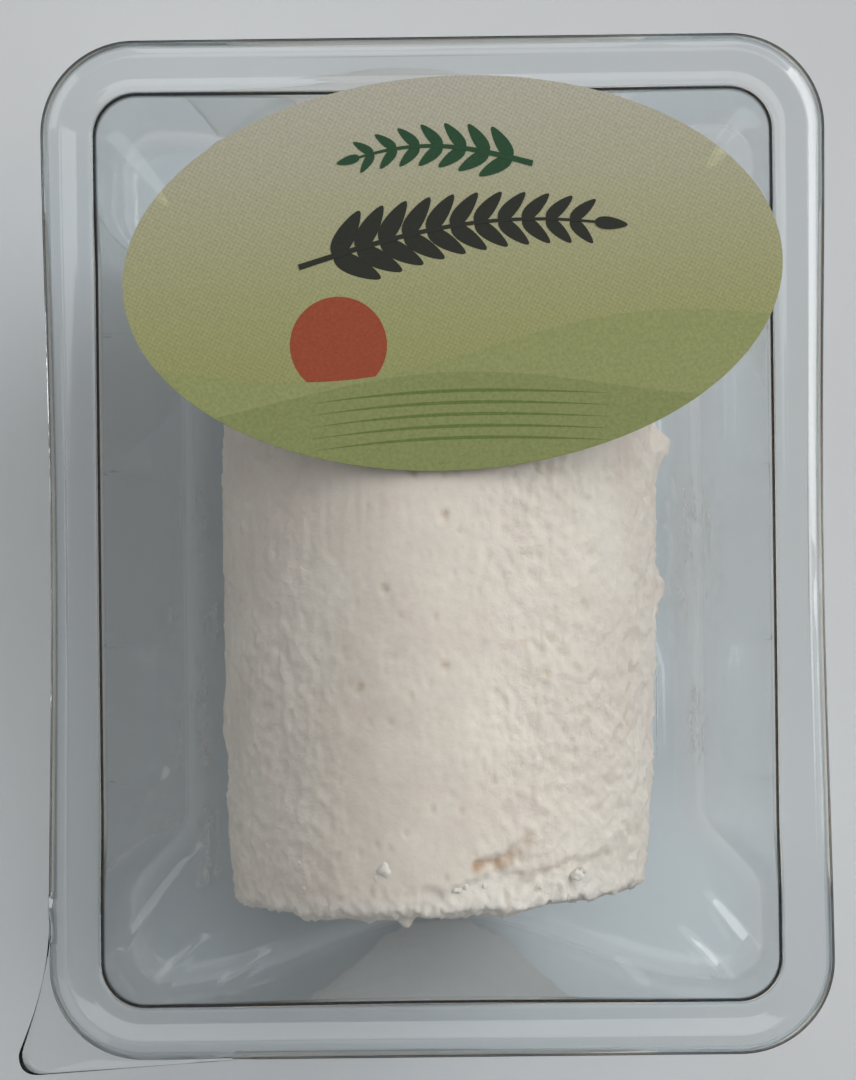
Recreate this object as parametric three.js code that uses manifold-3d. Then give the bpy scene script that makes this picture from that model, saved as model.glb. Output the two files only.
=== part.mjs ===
// A log of fresh goat cheese lying in a clear thermoformed tray, sealed under clear
// lidding film with a peel tab. An oval paper label lies on the film and a plain
// paper label is stuck under the tray.
// Millimetres: +X across the pack, +Y along the log, +Z up out of the film.
// The origin is the middle of the underside of the tray's base.
import * as THREE from 'three';
import Module from 'manifold-3d';
import { mergeVertices } from 'three/addons/utils/BufferGeometryUtils.js';

const wasm = await Module();
wasm.setup();

// Pack: the cut edge of the sealing flange, and the depth of the tray
const PACK_WIDTH = 100;
const PACK_LENGTH = 130;
const PACK_CORNER = 12;
const TRAY_DEPTH = 57;
const SHEET = 0.5;

// Sealing flange: its width, the crease inside its cut edge, and how far the lip drops
const FLANGE_WIDTH = 7;
const LIP_WIDTH = 1.7;
const LIP_DROP = 0.7;
const EDGE_BOW = 0.8;

// Tray walls: draft from rim to base, and the buttress pressed into each wall
const RIM_CORNER = 5.2;
const RIM_FILLET = 1;
const BASE_FILLET = 3;
const DRAFT = 0.7;
const SIDE_BUTTRESS = 8.4;
const END_BUTTRESS = 9.6;
const SIDE_HILL = { flat: 34, reach: 46 };
const END_HILL = { flat: 0, reach: 36 };
const BOW_HILL = { flat: 0, reach: 60 };

// Middle of the flat base: a long narrow outline that the four-footed base spreads out from
const BASE_SPINE = { halfX: 3, halfY: 40, corner: 1 };

// Two raised pads across the base carry the log
const PAD_LENGTH = 58;
const PAD_WIDTH = 20;
const PAD_RISE = 1.6;
const PAD_SLOPE = 1.2;
const PAD_CORNER = 4;
const PAD_SPACING = 42;

// Lidding film and its peel tab at the lower left corner. Each free edge of the tab has a
// knee: its place as a share of the edge's run, and its share of the tab's reach there.
const FILM = 0.2;
const FILM_GAP = 0.1;
const TAB_REACH_X = 4.1;
const TAB_REACH_Y = 1.8;
const TAB_SIDE_RUN = 19;
const TAB_END_RUN = 41;
const TAB_SIDE_KNEE = { run: 0.7, reach: 1 / 6 };
const TAB_END_KNEE = { run: 0.6, reach: 1 / 3 };
const TAB_CORNER = 2.5;

// Paper labels: oval half axes, centre and turn
const PAPER = 0.12;
const PAPER_GAP = 0.04;
const FRONT_LABEL = { halfX: 42.2, halfY: 25.2, x: 2.4, y: 34.8, turnDegrees: 2.5 };
const BACK_LABEL = { halfX: 33.5, halfY: 28.5, x: -5, y: 37.6, turnDegrees: 0 };

// Cheese log: barrel of curd, sagged on its bed and rough at its ends
const LOG_HALF_LENGTH = 47.4;
const LOG_HALF_WIDTH = 28.3;
const LOG_HALF_HEIGHT = 28;
const LOG_BED = 26;
const LOG_TOP = 27.6;
const LOG_GAP = 0.3;
const LOG_BARREL = 0.035;
const END_DOME = 2.2;
const END_ROUND = 3.2;
const CURD_RELIEF = 0.35;

// Waves in the curd: count round the log, radians per millimetre along it, start and share.
// On an end they repeat round its middle and run across its radius.
const CURD_WAVES = [
  { round: 2, along: 0.11, start: 0.7, share: 0.5 },
  { round: 3, along: -0.17, start: 2.1, share: 0.5 },
  { round: 7, along: 0.43, start: 0, share: 0.3 },
  { round: 5, along: -0.61, start: 1.3, share: 0.3 },
];
const END_WAVES = { relief: 0.55, repeat: 2, across: 30 };

// Lumps on the sides: place along the log, turn round it, size and rise
const LUMPS = [
  { y: 13, turnDegrees: 4, size: 4.5, rise: 1.3 },
  { y: -5, turnDegrees: -6, size: 5.5, rise: 1.1 },
  { y: -22, turnDegrees: 178, size: 7, rise: 0.7 },
  { y: 24, turnDegrees: 186, size: 6, rise: 0.8 },
];

// Facets: points on each corner, end and side of an outline, and round the log
const CORNER_STEPS = 4;
const END_STEPS = 16;
const SIDE_STEPS = 26;
const WALL_STEPS = 4;
const FILLET_STEPS = 3;
const OVAL_STEPS = 44;
const TAB_STEPS = 5;
const LOG_STEPS = 40;
const LOG_SIDE_STEPS = 9;
const DOME_STEPS = 4;
const ROUND_STEPS = 3;

const RIM_X = PACK_WIDTH / 2 - FLANGE_WIDTH;
const RIM_Y = PACK_LENGTH / 2 - FLANGE_WIDTH;
const FLANGE_TOP = TRAY_DEPTH;
const FILM_BOTTOM = FLANGE_TOP + FILM_GAP;
const FILM_TOP = FILM_BOTTOM + FILM;
const LOG_AXIS = SHEET + PAD_RISE + LOG_GAP + LOG_BED;

const radians = THREE.MathUtils.degToRad;
const lerp = THREE.MathUtils.lerp;

// A smooth hill of height 1 over its flat top, that falls to 0 at its reach
function hill(along, { flat = 0, reach }) {
  const u = (Math.abs(along) - flat) / (reach - flat);
  return 0.5 + 0.5 * Math.cos(Math.PI * THREE.MathUtils.clamp(u, 0, 1));
}

// A rounded rectangle at height z, counter-clockwise from above. The middle of each side
// and end is pressed in by its push, over its hill.
function outline({
  halfX, halfY, corner, z, sideSteps = SIDE_STEPS, endSteps = END_STEPS,
  sidePush = 0, endPush = 0, sideHill = SIDE_HILL, endHill = END_HILL,
}) {
  const points = [];
  const cornerX = halfX - corner;
  const cornerY = halfY - corner;
  const centres = [[1, 1], [-1, 1], [-1, -1], [1, -1]];
  centres.forEach(([signX, signY], quarter) => {
    for (let i = 0; i <= CORNER_STEPS; i++) {
      const angle = (quarter + i / CORNER_STEPS) * Math.PI / 2;
      const x = signX * cornerX + corner * Math.cos(angle);
      const y = signY * cornerY + corner * Math.sin(angle);
      points.push(new THREE.Vector3(x, y, z));
    }
    const alongEnd = quarter % 2 === 0;
    const steps = alongEnd ? endSteps : sideSteps;
    for (let i = 1; i < steps; i++) {
      const run = 1 - 2 * i / steps;
      if (alongEnd) {
        const x = signX * cornerX * run;
        const y = signY * (halfY - endPush * hill(x, endHill));
        points.push(new THREE.Vector3(x, y, z));
      } else {
        const y = signY * cornerY * run;
        const x = signX * (halfX - sidePush * hill(y, sideHill));
        points.push(new THREE.Vector3(x, y, z));
      }
    }
  });
  return points;
}

// A closed body through a list of rings, capped by fans to the two given tips
function loft(rings, firstTip, lastTip) {
  const count = rings[0].length;
  const vertices = [firstTip, ...rings.flat(), lastTip];
  const index = [];
  const last = vertices.length - 1;
  const lastRing = last - count;
  for (let j = 0; j < count; j++) {
    const next = (j + 1) % count;
    index.push(0, 1 + next, 1 + j);
    for (let i = 0; i < rings.length - 1; i++) {
      const a = 1 + i * count;
      const b = a + count;
      index.push(a + j, a + next, b + next, a + j, b + next, b + j);
    }
    index.push(last, lastRing + j, lastRing + next);
  }
  const geometry = new THREE.BufferGeometry().setFromPoints(vertices);
  geometry.setIndex(index);
  return geometry;
}

function centreOf(ring) {
  return new THREE.Vector3(0, 0, ring[0].z);
}

function toSolid(geometry) {
  const bare = geometry.clone();
  bare.deleteAttribute('normal');
  bare.deleteAttribute('uv');
  const merged = mergeVertices(bare);
  const mesh = new wasm.Mesh({
    numProp: 3,
    vertProperties: new Float32Array(merged.attributes.position.array),
    triVerts: new Uint32Array(merged.index.array),
  });
  return new wasm.Manifold(mesh);
}

function toGeometry(solid) {
  const mesh = solid.getMesh();
  const geometry = new THREE.BufferGeometry();
  geometry.setAttribute('position', new THREE.BufferAttribute(mesh.vertProperties, 3));
  geometry.setIndex(new THREE.BufferAttribute(mesh.triVerts, 1));
  return geometry;
}

// Tray wall outline at height z. Inset 0 is the inner skin, -SHEET the outer skin.
function wallRing(z, inset) {
  const fromRim = 1 - THREE.MathUtils.clamp(z / TRAY_DEPTH, 0, 1);
  return outline({
    halfX: RIM_X - DRAFT * fromRim - inset,
    halfY: RIM_Y - DRAFT * fromRim - inset,
    corner: RIM_CORNER - inset,
    z,
    sidePush: SIDE_BUTTRESS * fromRim,
    endPush: END_BUTTRESS * fromRim,
  });
}

// Outline of the flange, a given distance inside its cut edge
function flangeRing(z, inset) {
  return outline({
    halfX: PACK_WIDTH / 2 - inset,
    halfY: PACK_LENGTH / 2 - inset,
    corner: PACK_CORNER - inset,
    z,
    sidePush: EDGE_BOW,
    sideHill: BOW_HILL,
  });
}

// One skin of the tray from the base outwards and up to the cut edge of its lip
function traySkin(offset) {
  const rings = [outline({ ...BASE_SPINE, z: SHEET - offset })];
  const baseRadius = BASE_FILLET + offset;
  const baseCentre = SHEET + BASE_FILLET;
  for (let i = 0; i <= FILLET_STEPS; i++) {
    const angle = i / FILLET_STEPS * Math.PI / 2;
    const inset = BASE_FILLET - baseRadius * Math.sin(angle);
    rings.push(wallRing(baseCentre - baseRadius * Math.cos(angle), inset));
  }
  const rimCentre = FLANGE_TOP - RIM_FILLET;
  for (let i = 1; i < WALL_STEPS; i++) {
    rings.push(wallRing(lerp(baseCentre, rimCentre, i / WALL_STEPS), -offset));
  }
  const rimRadius = RIM_FILLET - offset;
  for (let i = 0; i <= FILLET_STEPS; i++) {
    const angle = i / FILLET_STEPS * Math.PI / 2;
    const inset = rimRadius * Math.cos(angle) - RIM_FILLET;
    rings.push(wallRing(rimCentre + rimRadius * Math.sin(angle), inset));
  }
  rings.push(flangeRing(FLANGE_TOP - offset, LIP_WIDTH));
  rings.push(flangeRing(FLANGE_TOP - LIP_DROP - offset, 0));
  return rings;
}

// A pad with sloping sides, centred on the base, from one height to another
function padBlock(bottom, top, margin) {
  const rings = [[bottom, margin], [top, margin - PAD_SLOPE]].map(([z, grow]) => outline({
    halfX: PAD_LENGTH / 2 + grow,
    halfY: PAD_WIDTH / 2 + grow,
    corner: PAD_CORNER + grow,
    z,
    sideSteps: 1,
    endSteps: 1,
  }));
  return loft(rings, centreOf(rings[0]), centreOf(rings[1]));
}

function trayGeometry() {
  const rings = [...traySkin(SHEET), ...traySkin(0).reverse()];
  let tray = toSolid(loft(rings, centreOf(rings[0]), centreOf(rings.at(-1))));
  for (const side of [-1, 1]) {
    const place = new THREE.Matrix4().makeTranslation(0, side * PAD_SPACING / 2, 0);
    const pad = padBlock(SHEET / 2, SHEET + PAD_RISE, SHEET);
    const groove = padBlock(-SHEET, PAD_RISE, 0);
    tray = tray.add(toSolid(pad.applyMatrix4(place)));
    tray = tray.subtract(toSolid(groove.applyMatrix4(place)));
  }
  return toGeometry(tray);
}

// Peel tab: a free corner of film that runs out past the flange
function tabGeometry() {
  const left = -PACK_WIDTH / 2;
  const end = -PACK_LENGTH / 2;
  const tipX = left - TAB_REACH_X;
  const tipY = end - TAB_REACH_Y;
  const tab = new THREE.Shape();
  tab.moveTo(left + PACK_CORNER, end + PACK_CORNER);
  tab.lineTo(left + PACK_CORNER / 2, end + TAB_SIDE_RUN);
  tab.lineTo(left, end + TAB_SIDE_RUN);
  tab.lineTo(left - TAB_REACH_X * TAB_SIDE_KNEE.reach, end + TAB_SIDE_RUN * TAB_SIDE_KNEE.run);
  tab.lineTo(tipX, tipY + 2 * TAB_CORNER);
  tab.quadraticCurveTo(tipX, tipY, tipX + TAB_CORNER, tipY);
  tab.lineTo(left + TAB_END_RUN * TAB_END_KNEE.run, end - TAB_REACH_Y * TAB_END_KNEE.reach);
  tab.lineTo(left + TAB_END_RUN, end);
  tab.lineTo(left + TAB_END_RUN, end + PACK_CORNER / 2);
  const settings = { depth: FILM, bevelEnabled: false, curveSegments: TAB_STEPS };
  return new THREE.ExtrudeGeometry(tab, settings).translate(0, 0, FILM_BOTTOM);
}

function filmGeometry() {
  const rings = [flangeRing(FILM_BOTTOM, 0), flangeRing(FILM_TOP, 0)];
  const sheet = toSolid(loft(rings, centreOf(rings[0]), centreOf(rings[1])));
  return toGeometry(sheet.add(toSolid(tabGeometry())));
}

function labelGeometry({ halfX, halfY, x, y, turnDegrees }, bottom) {
  const oval = new THREE.Shape();
  oval.absellipse(x, y, halfX, halfY, 0, 2 * Math.PI, false, radians(turnDegrees));
  const settings = { depth: PAPER, bevelEnabled: false, curveSegments: OVAL_STEPS };
  return new THREE.ExtrudeGeometry(oval, settings).translate(0, 0, bottom);
}

// Uneven curd: waves round and along the log, of a few millimetres to a few centimetres
function curdWaves(turn, y) {
  return CURD_WAVES.reduce((sum, { round, along, start, share }) => (
    sum + share * Math.sin(round * turn + along * y + start)
  ), 0);
}

function lumpRise(turn, y) {
  return LUMPS.reduce((sum, lump) => {
    const away = turn - radians(lump.turnDegrees);
    const around = LOG_HALF_WIDTH * Math.atan2(Math.sin(away), Math.cos(away));
    const distance = Math.hypot(around, y - lump.y);
    return sum + lump.rise * hill(distance, { reach: lump.size });
  }, 0);
}

// One ring of the log at y, at a share of its full radius
function logRing(y, share) {
  const ring = [];
  const barrel = 1 - LOG_BARREL * (y / LOG_HALF_LENGTH) ** 2;
  const endShare = hill(LOG_HALF_LENGTH - Math.abs(y), { reach: END_ROUND + END_DOME });
  for (let j = 0; j < LOG_STEPS; j++) {
    const turn = -2 * Math.PI * j / LOG_STEPS;
    const relief = CURD_RELIEF * curdWaves(turn, y) + lumpRise(turn, y);
    const reach = share * (barrel + relief / LOG_HALF_WIDTH);
    const x = reach * LOG_HALF_WIDTH * Math.cos(turn);
    const high = reach * LOG_HALF_HEIGHT * Math.sin(turn);
    const z = LOG_AXIS + THREE.MathUtils.clamp(high, -LOG_BED, LOG_TOP);
    const waves = curdWaves(END_WAVES.repeat * turn, END_WAVES.across * share);
    const crumb = END_WAVES.relief * endShare * share * Math.abs(waves);
    ring.push(new THREE.Vector3(x, y - Math.sign(y) * crumb, z));
  }
  return ring;
}

// Stations from the middle of the log to its +Y end, as distance and share of the radius
function logStations() {
  const stations = [];
  const straight = LOG_HALF_LENGTH - END_DOME - END_ROUND;
  const inner = 1 - END_ROUND / LOG_HALF_WIDTH;
  for (let i = 1; i <= LOG_SIDE_STEPS; i++) {
    stations.push([straight * i / LOG_SIDE_STEPS, 1]);
  }
  for (let i = 1; i <= ROUND_STEPS; i++) {
    const angle = i / ROUND_STEPS * Math.PI / 2;
    stations.push([straight + END_ROUND * Math.sin(angle), lerp(inner, 1, Math.cos(angle))]);
  }
  for (let i = DOME_STEPS - 1; i > 0; i--) {
    const share = i / DOME_STEPS;
    stations.push([LOG_HALF_LENGTH - END_DOME * share ** 2, inner * share]);
  }
  return stations;
}

function logGeometry() {
  const half = logStations();
  const near = half.map(([y, share]) => logRing(-y, share)).reverse();
  const far = half.map(([y, share]) => logRing(y, share));
  const tips = [-1, 1].map((sign) => new THREE.Vector3(0, sign * LOG_HALF_LENGTH, LOG_AXIS));
  return loft([...near, logRing(0, 1), ...far], tips[0], tips[1]);
}

function clearPlastic(color, opacity) {
  return new THREE.MeshStandardMaterial({
    color, roughness: 0.12, metalness: 0, transparent: true, opacity,
  });
}

function paper(color) {
  return new THREE.MeshStandardMaterial({ color, roughness: 0.75, metalness: 0 });
}

function addPiece(pack, name, geometry, material) {
  const mesh = new THREE.Mesh(geometry, material);
  mesh.name = name;
  geometry.computeVertexNormals();
  pack.add(mesh);
}

const curd = new THREE.MeshStandardMaterial({ color: 0xe9dfd2, roughness: 0.8, metalness: 0 });
const pack = new THREE.Group();
addPiece(pack, 'tray', trayGeometry(), clearPlastic(0xdfe6e8, 0.35));
addPiece(pack, 'lid_film', filmGeometry(), clearPlastic(0xf2f5f6, 0.2));
addPiece(pack, 'front_label', labelGeometry(FRONT_LABEL, FILM_TOP + PAPER_GAP), paper(0xb5bd6b));
addPiece(pack, 'back_label', labelGeometry(BACK_LABEL, -PAPER - PAPER_GAP), paper(0xe4e3df));
addPiece(pack, 'cheese_log', logGeometry(), curd);

export default pack;
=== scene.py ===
# %% [markdown]
# # A goat cheese log in its clear sealed pack
# A log of fresh goat cheese lies in a thermoformed tray. Clear film is heat-sealed on the tray's
# flange, an oval paper label lies on the film and a plain one is stuck under the base.
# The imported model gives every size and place. Lengths in the cells are millimetres, and a piece
# is turned into metres once, when it is finished.

# %% Load the frame
import math
import random

import bmesh
import bpy
from mathutils import Matrix, Vector, noise


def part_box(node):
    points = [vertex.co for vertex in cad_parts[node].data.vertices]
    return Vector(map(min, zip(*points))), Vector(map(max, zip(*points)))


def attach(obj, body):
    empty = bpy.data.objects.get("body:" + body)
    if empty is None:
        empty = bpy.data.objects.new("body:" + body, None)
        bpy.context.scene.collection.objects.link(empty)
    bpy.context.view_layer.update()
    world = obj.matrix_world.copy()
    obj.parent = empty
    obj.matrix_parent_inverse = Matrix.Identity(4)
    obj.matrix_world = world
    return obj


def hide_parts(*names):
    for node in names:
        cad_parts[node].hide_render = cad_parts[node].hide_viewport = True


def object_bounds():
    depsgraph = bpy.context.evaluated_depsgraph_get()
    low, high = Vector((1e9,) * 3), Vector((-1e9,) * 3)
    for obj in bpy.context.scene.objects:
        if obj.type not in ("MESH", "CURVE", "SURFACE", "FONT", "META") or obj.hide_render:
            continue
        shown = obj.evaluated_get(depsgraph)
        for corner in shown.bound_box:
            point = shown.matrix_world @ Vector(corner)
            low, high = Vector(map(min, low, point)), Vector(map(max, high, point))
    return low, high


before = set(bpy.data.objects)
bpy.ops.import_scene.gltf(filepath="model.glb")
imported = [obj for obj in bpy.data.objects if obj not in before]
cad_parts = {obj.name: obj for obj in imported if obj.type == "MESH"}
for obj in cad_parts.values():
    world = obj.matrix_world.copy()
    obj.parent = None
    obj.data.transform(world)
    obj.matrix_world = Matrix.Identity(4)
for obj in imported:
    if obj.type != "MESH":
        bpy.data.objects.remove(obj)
cad_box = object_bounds()
MM = 0.001
print("nodes", sorted(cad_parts))


# %% [markdown]
# ## Small helpers
# Every piece is modelled as a bmesh in millimetres. One function makes it an object at the origin,
# gives it materials and ties it to the pack, so no piece can be forgotten.

# %% Finish a piece
def finish_piece(bm, name, materials, node=None):
    """Turns a bmesh in millimetres into a smooth piece that rides on the pack."""
    mesh = bpy.data.meshes.new(name)
    bm.to_mesh(mesh)
    bm.free()
    mesh.transform(Matrix.Scale(MM, 4))
    mesh.shade_smooth()
    for material in materials:
        mesh.materials.append(material)
    piece = bpy.data.objects.new(name, mesh)
    bpy.context.scene.collection.objects.link(piece)
    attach(piece, "root")
    if node:
        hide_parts(node)
    print(name, len(mesh.polygons), "faces")
    return piece


def thicken(piece, thickness, offset):
    """Gives a sheet its thickness: offset -1 grows it against its normals, 1 along them."""
    wall = piece.modifiers.new("thickness", "SOLIDIFY")
    wall.thickness = thickness * MM
    wall.offset = offset


# %% Colours and nodes
def linear(hex_colour):
    """An sRGB hex colour as the linear RGBA that shaders want."""
    channels = [int(hex_colour[i:i + 2], 16) / 255 for i in (1, 3, 5)]
    low = [c / 12.92 for c in channels]
    high = [((c + 0.055) / 1.055) ** 2.4 for c in channels]
    return tuple(a if c <= 0.04045 else b for a, b, c in zip(low, high, channels)) + (1.0,)


def add_node(tree, kind, inputs=None, **settings):
    """Adds a node, sets its properties, and sets or links its inputs."""
    node = tree.nodes.new(kind)
    for name, value in settings.items():
        setattr(node, name, value)
    for name, source in (inputs or {}).items():
        if isinstance(source, bpy.types.NodeSocket):
            tree.links.new(source, node.inputs[name])
        else:
            node.inputs[name].default_value = source
    return node


def new_material(name):
    """An empty material and its node tree."""
    material = bpy.data.materials.new(name)
    material.use_nodes = True
    material.node_tree.nodes.clear()
    return material, material.node_tree


# %% [markdown]
# ## The outline that tray and film share
# Both follow a rounded rectangle. Each point of a ring knows its turn round the pack, from 0 at the
# middle of the right side to 1, so a ring can be extruded and every new point placed by its turn.
# That makes any section that changes with height out of one operator, without bookkeeping.

# %% Rings by turn
TURNS = 320
SIDE_SHARE = 0.46
CORNER_SHARE = 0.18


def hill(along, flat, reach):
    """1 over the flat top, falling smoothly to 0 at the reach."""
    u = (abs(along) - flat) / (reach - flat)
    return 0.5 + 0.5 * math.cos(math.pi * min(max(u, 0), 1))


def rounded_point(turn, half_x, half_y, corner):
    """The point of a rounded rectangle at a turn."""
    quarter, share = divmod(turn * 4 % 4, 1)
    share = 1 - share if quarter % 2 else share
    if share < SIDE_SHARE:
        x, y = half_x, (half_y - corner) * share / SIDE_SHARE
    elif share < SIDE_SHARE + CORNER_SHARE:
        angle = (share - SIDE_SHARE) / CORNER_SHARE * math.pi / 2
        x = half_x - corner + corner * math.cos(angle)
        y = half_y - corner + corner * math.sin(angle)
    else:
        x, y = (half_x - corner) * (1 - share) / (1 - SIDE_SHARE - CORNER_SHARE), half_y
    return x * (1 if quarter in (0, 3) else -1), y * (1 if quarter in (0, 1) else -1)


def first_ring(bm, count, place):
    """A capped ring whose points remember their turn. Returns its edges."""
    turn = bm.verts.layers.float.new("turn")
    ring = bmesh.ops.create_circle(bm, cap_ends=True, segments=count, radius=1)
    for v in ring["verts"]:
        v[turn] = round(math.atan2(v.co.y, v.co.x) / math.tau * count) % count / count
        v.co = place(v[turn])
    return list(bm.edges)


def next_ring(bm, edges, place):
    """Extrudes an open ring once, and puts each new point where its turn says."""
    turn = bm.verts.layers.float["turn"]
    made = bmesh.ops.extrude_edge_only(bm, edges=edges)["geom"]
    points = {v for v in made if isinstance(v, bmesh.types.BMVert)}
    for v in points:
        v.co = place(v[turn])
    return [e for e in made if isinstance(e, bmesh.types.BMEdge) and points.issuperset(e.verts)]


def face_up(bm):
    """Turns an open sheet so that its first face, the cap, looks up."""
    bmesh.ops.recalc_face_normals(bm, faces=bm.faces[:])
    bm.faces.ensure_lookup_table()
    if bm.faces[0].normal.z < 0:
        bmesh.ops.reverse_faces(bm, faces=bm.faces[:])


# %% Sizes of the pack
tray_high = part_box("tray")[1] / MM
PACK_X, PACK_Y, FLANGE_TOP = tray_high
PACK_CORNER = 12
FLANGE = 7
EDGE_BOW = 0.8
RIM_CORNER = 5.2
RIM_FILLET = 1
BASE_FILLET = 3
SHEET = 0.5
DRAFT = 0.7
SIDE_PUSH = 8.4
SIDE_HILL = (34, 46)
END_PUSH = 9.6
END_HILL = (0, 36)
BOW_HILL = (0, 60)
LIP_RIPPLE = 0.14
RIPPLE_PITCH = 8
print("pack", PACK_X, PACK_Y, FLANGE_TOP)


def wall(z, inset):
    """Places a ring of the tray's inner wall at height z, moved in by inset."""
    down = 1 - min(max(z / FLANGE_TOP, 0), 1)
    half_x = PACK_X - FLANGE - DRAFT * down - inset
    half_y = PACK_Y - FLANGE - DRAFT * down - inset
    corner = RIM_CORNER - inset

    def place(turn):
        x, y = rounded_point(turn, half_x, half_y, corner)
        if abs(y) < half_y - corner:
            x -= math.copysign(SIDE_PUSH * down * hill(y, *SIDE_HILL), x)
        elif abs(x) < half_x - corner:
            y -= math.copysign(END_PUSH * down * hill(x, *END_HILL), y)
        return Vector((x, y, z))

    return place


def flange(z, inset):
    """Places a ring of the flange, a distance inside its cut edge."""
    bow = EDGE_BOW * (1 - inset / (FLANGE - RIM_FILLET))

    def place(turn):
        x, y = rounded_point(turn, PACK_X - inset, PACK_Y - inset, PACK_CORNER - inset)
        if abs(x) > PACK_X - FLANGE:
            x -= math.copysign(bow * hill(y, *BOW_HILL), x)
        ripple = LIP_RIPPLE * noise.noise(Vector((x, y, 0)) / RIPPLE_PITCH)
        return Vector((x, y, z + ripple * max(0, 1 - inset)))

    return place


# %% [markdown]
# ## Clear plastics
# The tray is formed from clear polyester sheet and the lid is thin lidding film. Both are real
# glass to the camera, so rims and folds bend and mirror what is behind them. Light from the lamps
# would stop at glass, so for shadow rays a transparent shader takes its place and the cheese
# inside is lit. The faint tint and roughness come from the sheet itself, and an index a little
# under a solid block's keeps the rims as light as thin sheet looks.

# %% Clear polyester and lidding film
def clear_plastic(name, tint, roughness, ior, lamp_tint):
    """Smooth clear plastic that lets lamps through."""
    material, tree = new_material(name)
    plastic = add_node(tree, "ShaderNodeBsdfPrincipled", {
        "Base Color": linear(tint), "Roughness": roughness, "IOR": ior, "Transmission Weight": 1.0})
    passing = add_node(tree, "ShaderNodeBsdfTransparent", {"Color": linear(lamp_tint)})
    path = add_node(tree, "ShaderNodeLightPath")
    mixed = add_node(tree, "ShaderNodeMixShader", {
        "Fac": path.outputs["Is Shadow Ray"], 1: plastic.outputs[0], 2: passing.outputs[0]})
    add_node(tree, "ShaderNodeOutputMaterial", {"Surface": mixed.outputs[0]})
    return material


clear_sheet = clear_plastic("Thermoformed clear polyester", "#f5f8f9", 0.03, 1.42, "#f2f4f5")
clear_film = clear_plastic("Heat-sealed lidding film", "#fafbfb", 0.015, 1.45, "#f8fafa")
print("plastics", clear_sheet.name, clear_film.name)

# %% [markdown]
# ## The tray
# A thermoformed tray is one sheet: base, walls, rim and flange run into each other through
# fillets. So it is one chain of extruded rings, from the middle of the base out to the cut edge,
# and a Solidify modifier gives the sheet its thickness. The walls are pressed in low down, which
# leaves four feet at the corners.

# %% Extrude the tray
BASE_RINGS = 14
WALL_RINGS = 22
FILLET_RINGS = 5
FLANGE_PROFILE = (
    (5.4, 0), (5.1, -0.1), (4.5, -0.1), (4.2, 0), (2.75, 0), (2.5, 0.1), (2.25, 0.18),
    (2.0, 0.12), (1.75, 0.0), (1.2, -0.24), (0, -0.7),
)
BASE_SPINE = (3, 40, 1)


def fillet_angles():
    """Angles of a fillet's rings after the first."""
    return [k / FILLET_RINGS * math.pi / 2 for k in range(1, FILLET_RINGS + 1)]


def scaled(place, share):
    """The same ring drawn in towards the middle."""
    def inner(turn):
        x, y, z = place(turn)
        return Vector((x * share, y * share, z))

    return inner


def spread(place, share):
    """A ring of the flat base, between its long narrow middle and a given ring."""
    def between(turn):
        outer = place(turn)
        x, y = rounded_point(turn, *BASE_SPINE)
        return Vector((x, y, outer.z)).lerp(outer, share)

    return between


def extrude_tray():
    """The inner skin of the tray, from the base's middle to the cut edge."""
    bm = bmesh.new()
    base = wall(SHEET, BASE_FILLET)
    edges = first_ring(bm, TURNS, spread(base, 0))
    for k in range(1, BASE_RINGS + 1):
        edges = next_ring(bm, edges, spread(base, k / BASE_RINGS))
    for angle in fillet_angles():
        lift = BASE_FILLET * (1 - math.cos(angle))
        edges = next_ring(bm, edges, wall(SHEET + lift, BASE_FILLET * (1 - math.sin(angle))))
    low, high = SHEET + BASE_FILLET, FLANGE_TOP - RIM_FILLET
    for k in range(1, WALL_RINGS + 1):
        edges = next_ring(bm, edges, wall(low + (high - low) * k / WALL_RINGS, 0))
    for angle in fillet_angles():
        rise, inset = RIM_FILLET * math.sin(angle), RIM_FILLET * (math.cos(angle) - 1)
        edges = next_ring(bm, edges, wall(high + rise, inset))
    for inset, rise in FLANGE_PROFILE:
        edges = next_ring(bm, edges, flange(FLANGE_TOP + rise, inset))
    face_up(bm)
    return bm


tray_mesh = extrude_tray()
print("tray skin", len(tray_mesh.faces), "faces")

# %% Press the pads into the base
PAD_X = 29.5
PAD_Y = 10.5
PAD_CORNER = 4.5
PAD_RISE = 1.6
PAD_SLOPE = 1.2
PAD_CENTRE = 21
TOUCH = 1e-3


def base_parts(bm):
    """Faces, edges and points that lie flat on the base."""
    faces = [f for f in bm.faces if all(abs(v.co.z - SHEET) < TOUCH for v in f.verts)]
    edges = {e for f in faces for e in f.edges}
    points = {v for f in faces for v in f.verts}
    return faces + list(edges) + list(points)


def inside_pad(x, y):
    """How far a point is inside the nearer pad's rounded outline."""
    dx = abs(x) - (PAD_X - PAD_CORNER)
    dy = abs(abs(y) - PAD_CENTRE) - (PAD_Y - PAD_CORNER)
    outside = math.hypot(max(dx, 0), max(dy, 0)) + min(max(dx, dy), 0)
    return PAD_CORNER - outside


def press_pads(bm):
    """Cuts the base along the pads' slopes and lifts what is inside."""
    for step in (0, PAD_SLOPE / 2, PAD_SLOPE):
        cuts = [(sign * (PAD_X - step), 0) for sign in (-1, 1)]
        for side in (-1, 1):
            cuts += [(0, side * PAD_CENTRE + sign * (PAD_Y - step)) for sign in (-1, 1)]
        for x, y in cuts:
            bmesh.ops.bisect_plane(bm, geom=base_parts(bm), dist=TOUCH,
                                   plane_co=(x, y, 0), plane_no=(1, 0, 0) if x else (0, 1, 0))
    flat = [v for v in bm.verts if abs(v.co.z - SHEET) < TOUCH]
    for v in flat:
        u = min(max(inside_pad(v.co.x, v.co.y) / PAD_SLOPE, 0), 1)
        v.co.z += PAD_RISE * u * u * (3 - 2 * u)


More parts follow.
